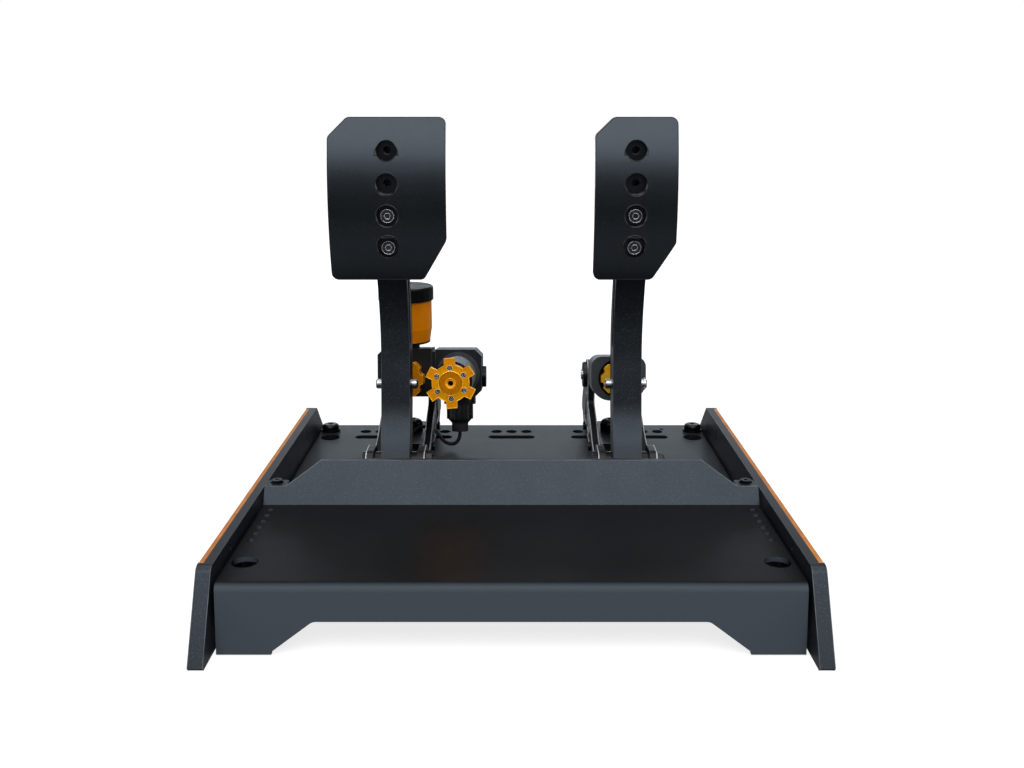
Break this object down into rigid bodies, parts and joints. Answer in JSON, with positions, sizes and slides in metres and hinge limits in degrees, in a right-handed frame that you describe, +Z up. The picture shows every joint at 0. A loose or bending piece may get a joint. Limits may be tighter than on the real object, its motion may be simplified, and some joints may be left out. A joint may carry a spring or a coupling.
{
  "type": "sim racing pedal set",
  "caption": "Sim racing pedal set: a folded metal foot tray with a hydraulic brake pedal and a spring-loaded throttle pedal.",
  "frame": {"origin": "middle of the tray on the floor", "axes": "+X to the driver's right, +Y away from the driver, +Z up"},
  "size_m": [0.34, 0.399, 0.282],
  "materials": {
    "frame_black": "satin powder coat with fine texture",
    "deck_black": "satin powder coat",
    "orange_anodised": "bright anodised",
    "orange_trim": "matt anodised",
    "black_anodised": "satin anodised with bright cut edges",
    "grey_anodised": "satin anodised",
    "steel": "turned",
    "black_steel": "black oxide",
    "black_plastic": "moulded",
    "black_rubber": "matt",
    "orange_rubber": "matt"
  },
  "bodies": {
    "throttle_pedal": {"throttle_arm": "black_anodised", "throttle_cross_pin": "steel", "throttle_pad": "black_anodised", "throttle_pad_screws": "black_steel"},
    "throttle_cylinder": {"throttle_housing": "grey_anodised", "throttle_spring": "steel"},
    "throttle_plunger": {"throttle_rod": "steel"},
    "throttle_wheel": {"throttle_adjuster": "orange_anodised"},
    "brake_pedal": {"brake_arm": "black_anodised", "brake_cross_pin": "steel", "brake_pad": "black_anodised", "brake_pad_screws": "black_steel"},
    "brake_piston": {"brake_master_piston": "steel"},
    "brake_rod": {"brake_push_rod": "steel", "brake_rod_nut": "black_steel"},
    "brake_wheel": {"brake_adjuster": "orange_anodised"},
    "brake_slave": {"brake_slave_piston": "steel", "brake_rubbers": "orange_rubber"},
    "brake_preload": {"brake_knob": "orange_anodised", "brake_knob_screws": "steel"},
    "reservoir_lid": {"brake_reservoir_cap": "black_plastic"},
    "base": {"brake_block": "black_anodised", "brake_block_plug": "black_steel", "brake_cable": "black_rubber", "brake_foot_plate": "black_anodised", "brake_plate_left": "black_anodised", "brake_plate_right": "black_anodised", "brake_reservoir_body": "orange_anodised", "brake_reservoir_neck": "black_plastic", "brake_sensor_boot": "black_rubber", "brake_sensor_collar": "black_steel", "brake_sensor_nut": "black_plastic", "brake_slave_collar": "grey_anodised", "brake_slave_tube": "black_anodised", "cable_grommet": "black_rubber", "control_box": "black_plastic", "deck_nuts": "black_steel", "deck_screws": "black_steel", "deck_washers": "black_steel", "foot_bolts": "black_steel", "heel_deck": "deck_black", "kick_plate": "frame_black", "kick_plate_posts": "black_steel", "kick_plate_screws": "black_steel", "panel_screws": "black_steel", "pivot_bolts": "black_steel", "pivot_nuts": "black_steel", "pivot_spacers": "black_steel", "plate_screws": "black_steel", "rear_deck": "frame_black", "side_panel_left": "frame_black", "side_panel_right": "frame_black", "throttle_foot_plate": "black_anodised", "throttle_hub_cap": "black_anodised", "throttle_hub_screw": "steel", "throttle_plate_left": "black_anodised", "throttle_plate_right": "black_anodised", "trim_strip_left": "orange_trim", "trim_strip_right": "orange_trim", "trunnion_bolts": "black_steel"}
  },
  "joints": [
    {"name": "throttle_press", "type": "hinge", "parent": "base", "child": "throttle_pedal", "pos_m": [0.0825, 0.024, 0.0415], "axis": [-1, 0, 0], "range_deg": [0, 18], "stiffness_Nm_per_rad": 6, "springref_deg": -8.59},
    {"name": "throttle_swing", "type": "hinge", "parent": "base", "child": "throttle_cylinder", "pos_m": [0.0825, 0.139, 0.078], "axis": [1, 0, 0], "range_deg": [0, 2.6]},
    {"name": "throttle_stroke", "type": "slide", "parent": "throttle_cylinder", "child": "throttle_plunger", "axis": [0, 0.9849, -0.1732], "range_m": [0, 0.0173], "deforming": ["throttle_spring"]},
    {"name": "throttle_wheel_turn", "type": "hinge", "parent": "throttle_cylinder", "child": "throttle_wheel", "pos_m": [0.0825, 0.09468, 0.08579], "axis": [0, 0.9849, -0.1732], "continuous": true},
    {"name": "brake_press", "type": "hinge", "parent": "base", "child": "brake_pedal", "pos_m": [-0.0825, 0.024, 0.0415], "axis": [-1, 0, 0], "range_deg": [0, 6], "stiffness_Nm_per_rad": 60, "springref_deg": -2.86},
    {"name": "brake_piston_slide", "type": "slide", "parent": "base", "child": "brake_piston", "axis": [0, 0.9849, -0.1732], "range_m": [0, 0.0059]},
    {"name": "brake_rod_tilt", "type": "hinge", "parent": "brake_piston", "child": "brake_rod", "pos_m": [-0.0825, 0.09468, 0.08579], "axis": [1, 0, 0], "range_deg": [0, 1]},
    {"name": "brake_slave_slide", "type": "slide", "parent": "base", "child": "brake_slave", "axis": [0, -0.9849, 0.1732], "range_m": [0, 0.0047]},
    {"name": "brake_wheel_turn", "type": "hinge", "parent": "base", "child": "brake_wheel", "pos_m": [-0.0825, 0.08483, 0.08753], "axis": [0, 0.9849, -0.1732], "continuous": true},
    {"name": "preload_knob_turn", "type": "hinge", "parent": "base", "child": "brake_preload", "pos_m": [-0.041, -0.0041, 0.10723], "axis": [0, 0.9849, -0.1732], "continuous": true},
    {"name": "reservoir_lid_turn", "type": "hinge", "parent": "base", "child": "reservoir_lid", "pos_m": [-0.0825, 0.117, 0.149], "axis": [0, 0, 1], "continuous": true}
  ],
  "couplings": [
    {"joint": "throttle_swing", "follows": "throttle_press", "ratio": 0.142},
    {"joint": "throttle_stroke", "follows": "throttle_press", "m_per_rad": 0.0544},
    {"joint": "brake_piston_slide", "follows": "brake_press", "m_per_rad": 0.0555},
    {"joint": "brake_rod_tilt", "follows": "brake_press", "ratio": 0.145},
    {"joint": "brake_slave_slide", "follows": "brake_press", "m_per_rad": 0.0438}
  ]
}
